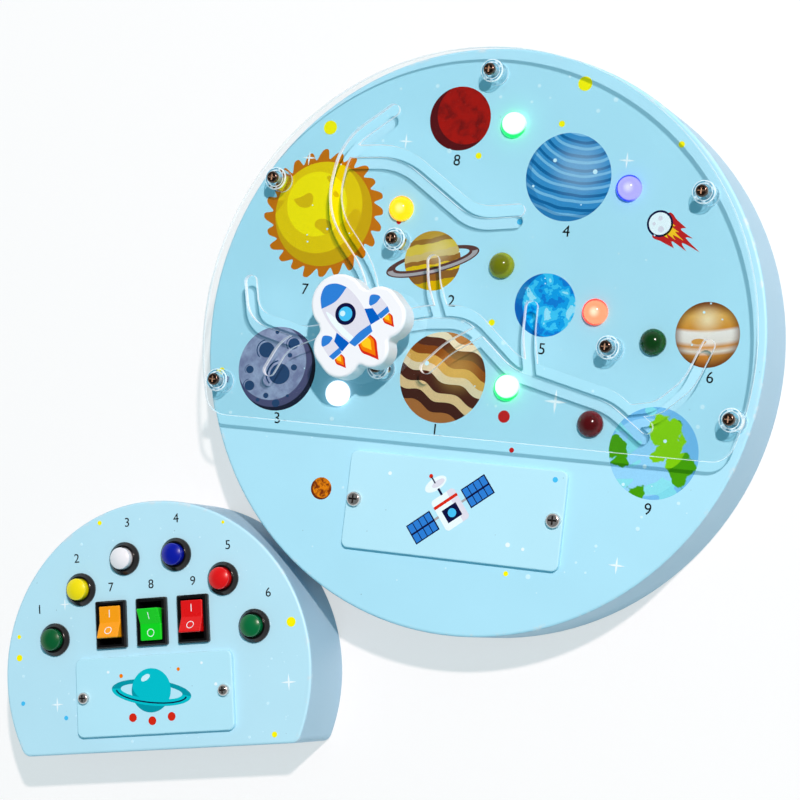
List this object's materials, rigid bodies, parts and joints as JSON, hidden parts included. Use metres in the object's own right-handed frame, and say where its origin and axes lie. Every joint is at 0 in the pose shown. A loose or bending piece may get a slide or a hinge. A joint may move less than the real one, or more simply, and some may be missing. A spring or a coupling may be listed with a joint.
{
  "type": "toy circuit board",
  "caption": "Round light-blue toy lamp board with a clear slotted track plate and a sliding rocket, with a separate wireless control board of push buttons and rocker switches.",
  "frame": {"origin": "centre of the round display board's flat back", "axes": "+Z out of the display face, +Y towards the top of its print, +X to the right of it; the control board lies in the same plane at the lower left"},
  "size_m": [0.3318, 0.3272, 0.0582],
  "materials": {
    "board_paint": "satin light blue paint over printed wood board",
    "rear_panel": "plain fibreboard",
    "steel_screw": "bright plated steel",
    "dark_screw": "blackened steel",
    "clear_sheet": "clear polished acrylic",
    "clear_spacer": "clear polished acrylic",
    "cover_plastic": "satin light blue",
    "tray_plastic": "moulded black",
    "battery_sleeve": "plain wrapped cell",
    "contact_metal": "nickel-plated strip",
    "circuit_green": "solder-mask green laminate",
    "white_wood": "white painted wood",
    "white_plastic": "natural white",
    "lamp_green": "lit diffused dome",
    "lamp_olive": "unlit tinted dome",
    "lamp_white": "lit diffused dome",
    "lamp_blue": "lit diffused dome",
    "lamp_orange": "lit diffused dome",
    "lamp_dark_green": "unlit tinted dome",
    "lamp_yellow": "lit diffused dome",
    "lamp_dark_red": "unlit tinted dome",
    "cap_dark_green": "moulded",
    "cap_yellow": "moulded",
    "cap_white": "moulded",
    "cap_blue": "moulded",
    "cap_red": "moulded",
    "cap_green": "moulded",
    "black_plastic": "moulded black",
    "spring_steel": "drawn wire",
    "rocker_orange": "moulded",
    "rocker_green": "moulded",
    "rocker_red": "moulded"
  },
  "bodies": {
    "display": {"display_batteries": "battery_sleeve", "display_battery_contacts": "contact_metal", "display_battery_cover": "cover_plastic", "display_battery_tray": "tray_plastic", "display_body": "board_paint", "display_circuit_board": "circuit_green", "display_cover_screws": "steel_screw", "display_rear_cover": "rear_panel", "display_rear_screws": "steel_screw", "lamp_1": "lamp_green", "lamp_2": "lamp_olive", "lamp_3": "lamp_white", "lamp_4": "lamp_blue", "lamp_5": "lamp_orange", "lamp_6": "lamp_dark_green", "lamp_7": "lamp_yellow", "lamp_8": "lamp_green", "lamp_9": "lamp_dark_red", "track_plate": "clear_sheet", "plate_spacers": "clear_spacer", "plate_screws": "dark_screw"},
    "control": {"control_batteries": "battery_sleeve", "control_battery_contacts": "contact_metal", "control_battery_cover": "cover_plastic", "control_battery_tray": "tray_plastic", "control_body": "board_paint", "control_circuit_board": "circuit_green", "control_cover_screws": "steel_screw", "control_rear_cover": "rear_panel", "control_rear_screws": "steel_screw", "button_housing_1": "black_plastic", "button_housing_2": "black_plastic", "button_housing_3": "black_plastic", "button_housing_4": "black_plastic", "button_housing_5": "black_plastic", "button_housing_6": "black_plastic", "button_spring_1": "spring_steel", "button_spring_2": "spring_steel", "button_spring_3": "spring_steel", "button_spring_4": "spring_steel", "button_spring_5": "spring_steel", "button_spring_6": "spring_steel", "button_nuts": "black_plastic", "rocker_frame_1": "black_plastic", "rocker_frame_2": "black_plastic", "rocker_frame_3": "black_plastic"},
    "carriage": {"slider_glide": "white_plastic"},
    "rocket": {"rocket_slider": "white_wood", "slider_sleeve": "white_plastic", "slider_screw": "steel_screw"},
    "button_1": {"button_cap_1": "cap_dark_green"},
    "button_2": {"button_cap_2": "cap_yellow"},
    "button_3": {"button_cap_3": "cap_white"},
    "button_4": {"button_cap_4": "cap_blue"},
    "button_5": {"button_cap_5": "cap_red"},
    "button_6": {"button_cap_6": "cap_green"},
    "switch_1": {"rocker_1": "rocker_orange"},
    "switch_2": {"rocker_2": "rocker_green"},
    "switch_3": {"rocker_3": "rocker_red"}
  },
  "joints": [
    {"name": "control_slide", "type": "slide", "parent": "display", "child": "control", "axis": [-0.6428, -0.766, 0], "range_m": [0, 0.15]},
    {"name": "track_slide", "type": "slide", "parent": "display", "child": "carriage", "axis": [0.9719, 0.2352, 0], "range_m": [-0.02, 0.024]},
    {"name": "rocket_spin", "type": "hinge", "parent": "carriage", "child": "rocket", "pos_m": [-0.04859, 0.00199, 0.0452], "axis": [0, 0, 1], "continuous": true},
    {"name": "press_1", "type": "slide", "parent": "control", "child": "button_1", "axis": [0, 0, -1], "range_m": [0, 0.0025], "stiffness_N_per_m": 250, "deforming": ["button_spring_1"]},
    {"name": "press_2", "type": "slide", "parent": "control", "child": "button_2", "axis": [0, 0, -1], "range_m": [0, 0.0025], "stiffness_N_per_m": 250, "deforming": ["button_spring_2"]},
    {"name": "press_3", "type": "slide", "parent": "control", "child": "button_3", "axis": [0, 0, -1], "range_m": [0, 0.0025], "stiffness_N_per_m": 250, "deforming": ["button_spring_3"]},
    {"name": "press_4", "type": "slide", "parent": "control", "child": "button_4", "axis": [0, 0, -1], "range_m": [0, 0.0025], "stiffness_N_per_m": 250, "deforming": ["button_spring_4"]},
    {"name": "press_5", "type": "slide", "parent": "control", "child": "button_5", "axis": [0, 0, -1], "range_m": [0, 0.0025], "stiffness_N_per_m": 250, "deforming": ["button_spring_5"]},
    {"name": "press_6", "type": "slide", "parent": "control", "child": "button_6", "axis": [0, 0, -1], "range_m": [0, 0.0025], "stiffness_N_per_m": 250, "deforming": ["button_spring_6"]},
    {"name": "rock_1", "type": "hinge", "parent": "control", "child": "switch_1", "pos_m": [-0.15561, -0.13928, 0.0325], "axis": [0.9833, 0.1822, 0], "range_deg": [0, 25.8]},
    {"name": "rock_2", "type": "hinge", "parent": "control", "child": "switch_2", "pos_m": [-0.13574, -0.1356, 0.0325], "axis": [0.9833, 0.1822, 0], "range_deg": [-25.8, 0]},
    {"name": "rock_3", "type": "hinge", "parent": "control", "child": "switch_3", "pos_m": [-0.11588, -0.13192, 0.0325], "axis": [0.9833, 0.1822, 0], "range_deg": [0, 25.8]}
  ]
}
